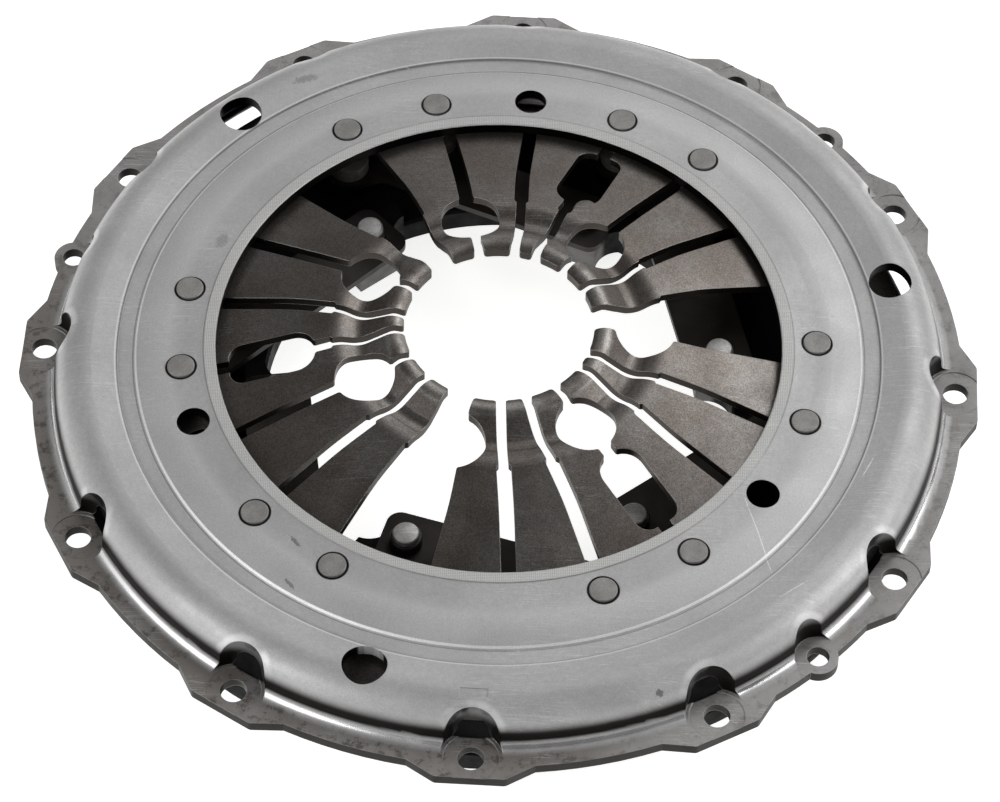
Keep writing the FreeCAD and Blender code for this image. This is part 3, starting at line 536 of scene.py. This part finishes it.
def cast_iron():
    # painted shade: the cast iron is painted near black, as the plate lies in shade under the cover and
    # spring
    material, graph, shader, base = rough_metal(
        "cast_iron", (0.009, 0.009, 0.009), (0.016, 0.0155, 0.015), 0.6, 0.8, 0.8, 60.0, 900.0, 0.4)
    _, radius, _, _, z = graph.place()
    lug_face = graph.times(graph.below(graph.level(), 0.2, 0.4), graph.below(radius, *LUG_FACE_R))
    base = graph.mix(lug_face, base, (0.20, 0.195, 0.19))

    # the friction face shows the fine rings of its turning
    turning = graph.math("SINE", graph.times(radius, TURNING_WAVES))
    ground = graph.mix(graph.spread(turning, -1.0, 1.0), (0.36, 0.355, 0.35), (0.48, 0.475, 0.47))
    base = graph.mix(graph.below(z, *FRICTION_FACE_Z), base, ground)
    graph.link(base, shader.inputs["Base Color"])
    return material


def bright_rivet():
    material, graph, shader, base = rough_metal(
        "bright_rivet", (0.50, 0.495, 0.485), (0.62, 0.615, 0.60), 0.40, 0.52, 0.55, 260.0, 1500.0, 0.3)
    where = graph.place()[0]
    marks = graph.most(graph.scratches(where, 12.0, 300.0, 0.42), graph.scratches(where, 100.0, 260.0, 0.48))
    base = graph.tint(base, marks, 0.6, (0.85, 0.85, 0.84))
    graph.link(base, shader.inputs["Base Color"])
    return material


def make_materials():
    materials = {name: rough_metal(name, *values)[0] for name, values in PLAIN_STEELS.items()}
    materials["cover_steel"] = cover_steel()
    materials["spring_steel"] = spring_steel()
    materials["cast_iron"] = cast_iron()
    materials["bright_rivet"] = bright_rivet()
    return materials


def make_floor():
    mesh = bpy.data.meshes.new("floor")
    signs = ((-1, -1), (1, -1), (1, 1), (-1, 1))
    corners = [(sx * FLOOR_HALF, sy * FLOOR_HALF, LOWEST_Z) for sx, sy in signs]
    mesh.from_pydata(corners, [], [(0, 1, 2, 3)])
    floor = bpy.data.objects.new("floor", mesh)
    bpy.context.scene.collection.objects.link(floor)
    material = bpy.data.materials.new("floor_white")
    material.use_nodes = True
    graph = Graph(material.node_tree)
    diffuse = graph.add("ShaderNodeBsdfDiffuse", i_Color=FLOOR_TONE)
    glow = graph.add("ShaderNodeEmission", i_Color=FLOOR_GLOW, i_Strength=FLOOR_GLOW_STRENGTH)
    both = graph.add("ShaderNodeAddShader")
    graph.link(diffuse.outputs[0], both.inputs[0])
    graph.link(glow.outputs[0], both.inputs[1])
    output = graph.add("ShaderNodeOutputMaterial")
    graph.link(both.outputs[0], output.inputs["Surface"])
    mesh.materials.append(material)


def make_area_light(name, azimuth, elevation, distance, size, power):
    data = bpy.data.lights.new(name, "AREA")
    data.shape = "RECTANGLE"
    data.size, data.size_y = size
    data.energy = power
    light = bpy.data.objects.new(name, data)
    light.location = on_dome(distance, azimuth, elevation)
    light.rotation_mode = "QUATERNION"
    light.rotation_quaternion = (-light.location).to_track_quat("-Z", "Y")
    bpy.context.scene.collection.objects.link(light)


def make_world():
    world = bpy.data.worlds.new("studio")
    bpy.context.scene.world = world
    world.use_nodes = True
    graph = Graph(world.node_tree)
    direction = graph.add("ShaderNodeTexCoord").outputs["Generated"]
    light = EVEN_LIGHT
    for azimuth, elevation, power, strength in SKY_LOBES:
        facing = graph.combine("DOT_PRODUCT", direction, on_dome(1.0, azimuth, elevation))
        lobe = graph.math("POWER", graph.most(facing, 0.0), power)
        light = graph.math("ADD", graph.times(lobe, strength), light)
    back = graph.add("ShaderNodeBackground")
    graph.link(light, back.inputs["Color"])
    output = graph.add("ShaderNodeOutputWorld")
    graph.link(back.outputs[0], output.inputs["Surface"])


def dress_nodes(materials):
    slots = {row["node"]: row["material_slot"] for row in frame["record"]["subparts"]}
    for name, node in NODES.items():
        node.data.materials.clear()
        node.data.materials.append(materials[slots[name]])
        for polygon in node.data.polygons:
            polygon.material_index = 0


def copy_of(name, piece_name):
    """A new piece with the shape and finish of a node, which it will replace."""
    mesh = NODES[name].data.copy()
    mesh.name = piece_name
    piece = bpy.data.objects.new(piece_name, mesh)
    bpy.context.scene.collection.objects.link(piece)
    return piece


def make_spring():
    spring = copy_of("diaphragm_spring", "spring_fingers")
    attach(spring, "cover")
    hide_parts("diaphragm_spring")
    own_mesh(spring)


def divide_along(mesh, start, end, count):
    """Cuts a mesh across a line, at even steps along it."""
    work = bmesh.new()
    work.from_mesh(mesh)
    along = (end - start).normalized()
    for index in range(count + 1):
        point = start.lerp(end, index / count)
        everything = work.verts[:] + work.edges[:] + work.faces[:]
        bmesh.ops.bisect_plane(work, geom=everything, plane_co=point, plane_no=along, dist=1e-6)
    work.to_mesh(mesh)
    work.free()


def make_straps():
    for pack, azimuth in enumerate(STRAP_RIVET_AZ):
        plate_end = on_circle(STRAP_RIVET_CIRCLE_R, azimuth)
        first, second = [on_circle(RIVET_CIRCLE_R, SPACER_RIVET_AZ[index]) for index in STRAP_PAIRS[pack]]
        cover_end = 0.5 * (first + second)
        # the bending stretch runs between the riveted ends
        start, end = [cover_end.lerp(plate_end, share) for share in LEAF_BEND]
        for level in LEAF_NAMES:
            name = f"strap_{pack + 1}_{level}"
            leaf = copy_of(name, f"leaf_{pack + 1}_{level}")
            divide_along(leaf.data, start, end, LEAF_CUTS)
            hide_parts(name)
            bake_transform(leaf)


make_camera()
make_floor()
make_world()
for lamp in LAMPS:
    make_area_light(*lamp)
dress_nodes(make_materials())
make_spring()
make_straps()

scene = bpy.context.scene
scene.view_settings.view_transform = "Standard"
scene.view_settings.look = "None"
